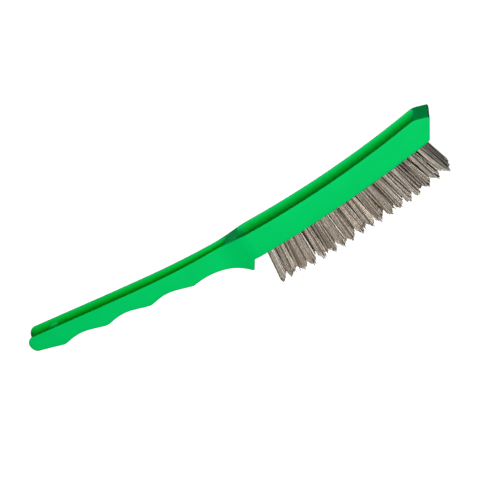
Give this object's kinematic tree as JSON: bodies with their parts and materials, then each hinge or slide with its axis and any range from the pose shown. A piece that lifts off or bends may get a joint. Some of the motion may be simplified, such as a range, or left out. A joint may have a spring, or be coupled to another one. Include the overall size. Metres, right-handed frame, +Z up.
{
  "type": "wire brush",
  "caption": "Hand wire brush with a one-piece moulded plastic handle, finger scallops and guard, and rows of straight steel wire tufts in a bowed head.",
  "frame": {"origin": "under the middle of the brush's bounding box, level with the lowest wire tips", "axes": "+X from the butt of the handle to the nose, +Z up, wires pointing down along -Z, Y across the brush, which is the same on both sides of XZ"},
  "size_m": [0.29, 0.0226, 0.0676],
  "materials": {
    "plastic": "satin moulded polypropylene, green",
    "wire": "drawn carbon steel wire, bare, warm grey"
  },
  "bodies": {
    "root": {"handle": "plastic", "wire_tuft_row1_01": "wire", "wire_tuft_row1_02": "wire", "wire_tuft_row1_03": "wire", "wire_tuft_row1_04": "wire", "wire_tuft_row1_05": "wire", "wire_tuft_row1_06": "wire", "wire_tuft_row1_07": "wire", "wire_tuft_row1_08": "wire", "wire_tuft_row1_09": "wire", "wire_tuft_row1_10": "wire", "wire_tuft_row1_11": "wire", "wire_tuft_row1_12": "wire", "wire_tuft_row1_13": "wire", "wire_tuft_row1_14": "wire", "wire_tuft_row1_15": "wire", "wire_tuft_row1_16": "wire", "wire_tuft_row1_17": "wire", "wire_tuft_row1_18": "wire", "wire_tuft_row2_01": "wire", "wire_tuft_row2_02": "wire", "wire_tuft_row2_03": "wire", "wire_tuft_row2_04": "wire", "wire_tuft_row2_05": "wire", "wire_tuft_row2_06": "wire", "wire_tuft_row2_07": "wire", "wire_tuft_row2_08": "wire", "wire_tuft_row2_09": "wire", "wire_tuft_row2_10": "wire", "wire_tuft_row2_11": "wire", "wire_tuft_row2_12": "wire", "wire_tuft_row2_13": "wire", "wire_tuft_row2_14": "wire", "wire_tuft_row2_15": "wire", "wire_tuft_row2_16": "wire", "wire_tuft_row2_17": "wire", "wire_tuft_row2_18": "wire", "wire_tuft_row3_01": "wire", "wire_tuft_row3_02": "wire", "wire_tuft_row3_03": "wire", "wire_tuft_row3_04": "wire", "wire_tuft_row3_05": "wire", "wire_tuft_row3_06": "wire", "wire_tuft_row3_07": "wire", "wire_tuft_row3_08": "wire", "wire_tuft_row3_09": "wire", "wire_tuft_row3_10": "wire", "wire_tuft_row3_11": "wire", "wire_tuft_row3_12": "wire", "wire_tuft_row3_13": "wire", "wire_tuft_row3_14": "wire", "wire_tuft_row3_15": "wire", "wire_tuft_row3_16": "wire", "wire_tuft_row3_17": "wire", "wire_tuft_row3_18": "wire"}
  },
  "joints": []
}
